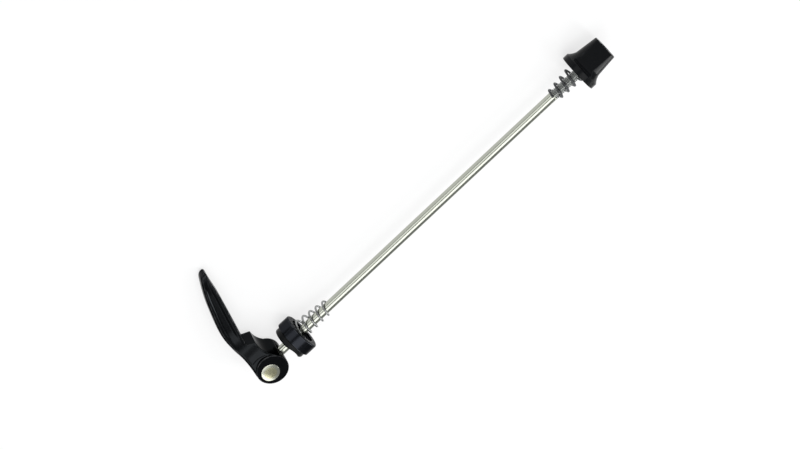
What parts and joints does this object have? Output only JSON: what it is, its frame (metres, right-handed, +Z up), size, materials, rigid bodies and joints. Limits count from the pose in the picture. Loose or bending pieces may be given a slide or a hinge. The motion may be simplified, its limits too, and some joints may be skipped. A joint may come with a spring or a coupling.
{
  "type": "quick release skewer",
  "caption": "Quick release skewer: long rod with a cam lever, cup and saddle at one end, a flanged adjusting nut at the other and a conical spring beside each clamping face.",
  "frame": {"origin": "middle of the cup's clamping face, on the rod's axis", "axes": "+X along the rod from the lever to the nut, +Z up as the skewer lies on a floor, so +Y is the side that the closed lever's blade points to"},
  "size_m": [0.2194, 0.0707, 0.019],
  "materials": {
    "rod_steel": "polished",
    "barrel_steel": "polished",
    "black_alloy": "satin",
    "black_resin": "satin",
    "bright_spring": "satin",
    "dark_spring": "satin",
    "insert_steel": "satin",
    "white_nylon": "matte"
  },
  "bodies": {
    "rod": {"skewer_rod": "rod_steel", "pivot_barrel": "barrel_steel"},
    "lever": {"cam_lever": "black_alloy"},
    "cup": {"clamp_cup": "black_alloy", "cam_saddle": "black_resin", "lever_spring": "bright_spring"},
    "nut_carriage": {"nut_spring": "dark_spring"},
    "nut": {"adjusting_nut": "black_alloy", "nut_insert": "insert_steel", "nut_lock_ring": "white_nylon"}
  },
  "joints": [
    {"name": "lever_swing", "type": "hinge", "parent": "rod", "child": "lever", "pos_m": [-0.023, 0, 0], "axis": [0, 0.1124, 0.9937], "range_deg": [0, 180]},
    {"name": "cup_slide", "type": "slide", "parent": "rod", "child": "cup", "axis": [1, 0, 0], "range_m": [-0.0049, 0.12]},
    {"name": "nut_travel", "type": "slide", "parent": "rod", "child": "nut_carriage", "axis": [1, 0, 0], "range_m": [-0.0152, 0.008]},
    {"name": "nut_turn", "type": "hinge", "parent": "nut_carriage", "child": "nut", "pos_m": [0.173, 0, 0], "axis": [1, 0, 0], "range_deg": [-6840, 3600]}
  ],
  "couplings": [
    {"joint": "nut_travel", "follows": "nut_turn", "m_per_rad": 0.00012732}
  ]
}
